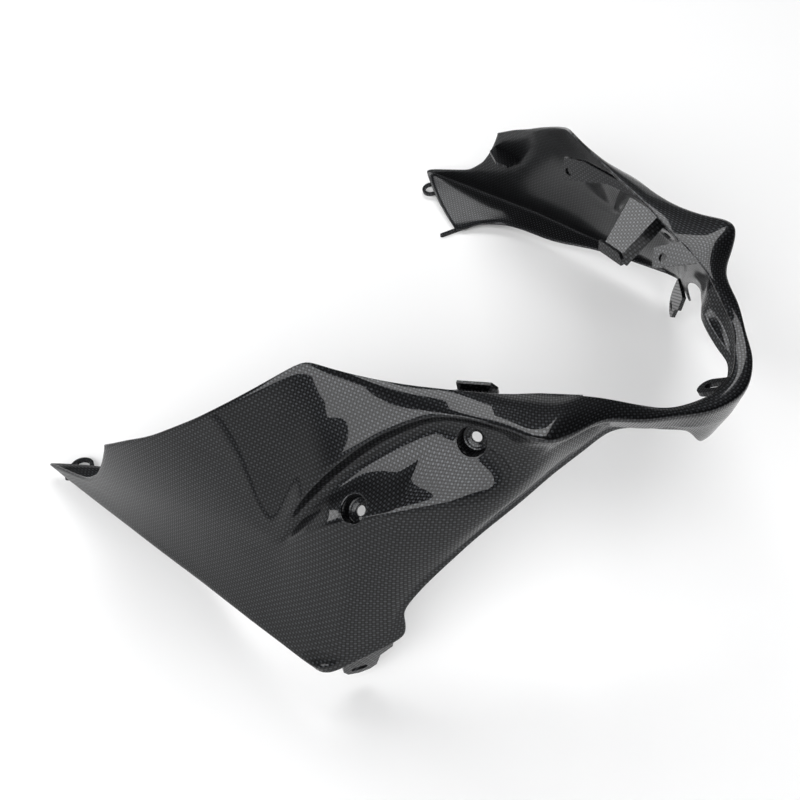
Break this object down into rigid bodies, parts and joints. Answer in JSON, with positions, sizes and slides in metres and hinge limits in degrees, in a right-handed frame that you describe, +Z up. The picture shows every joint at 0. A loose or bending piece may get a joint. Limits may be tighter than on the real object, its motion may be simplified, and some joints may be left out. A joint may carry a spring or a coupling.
{
  "type": "motorcycle lower fairing",
  "caption": "Lower fairing of a motorcycle: one black carbon-fibre laminate with two side panels joined by a low band at the nose, with bonded mounting plates behind it.",
  "frame": {"origin": "on the mirror plane, half way along the length, at the height of the rear pegs' undersides", "axes": "+X forward, towards the nose band; +Y to the machine's left; +Z up"},
  "size_m": [0.4378, 0.5114, 0.2166],
  "materials": {
    "carbon_laminate": "plain-weave carbon-fibre cloth in epoxy under a glossy clear coat",
    "carbon_plate": "cut carbon-fibre plate, plain weave, satin to gloss resin surface"
  },
  "bodies": {
    "root": {"fairing_shell": "carbon_laminate", "nose_tab": "carbon_plate", "eyelet_left": "carbon_plate", "eyelet_right": "carbon_plate", "peg_left": "carbon_plate", "peg_right": "carbon_plate", "gusset_left": "carbon_plate", "gusset_right": "carbon_plate", "hanger_left": "carbon_plate", "hanger_right": "carbon_plate", "stay_left": "carbon_plate", "stay_right": "carbon_plate", "front_plate_left": "carbon_plate", "front_plate_right": "carbon_plate", "lug_left": "carbon_plate", "lug_right": "carbon_plate"}
  },
  "joints": []
}
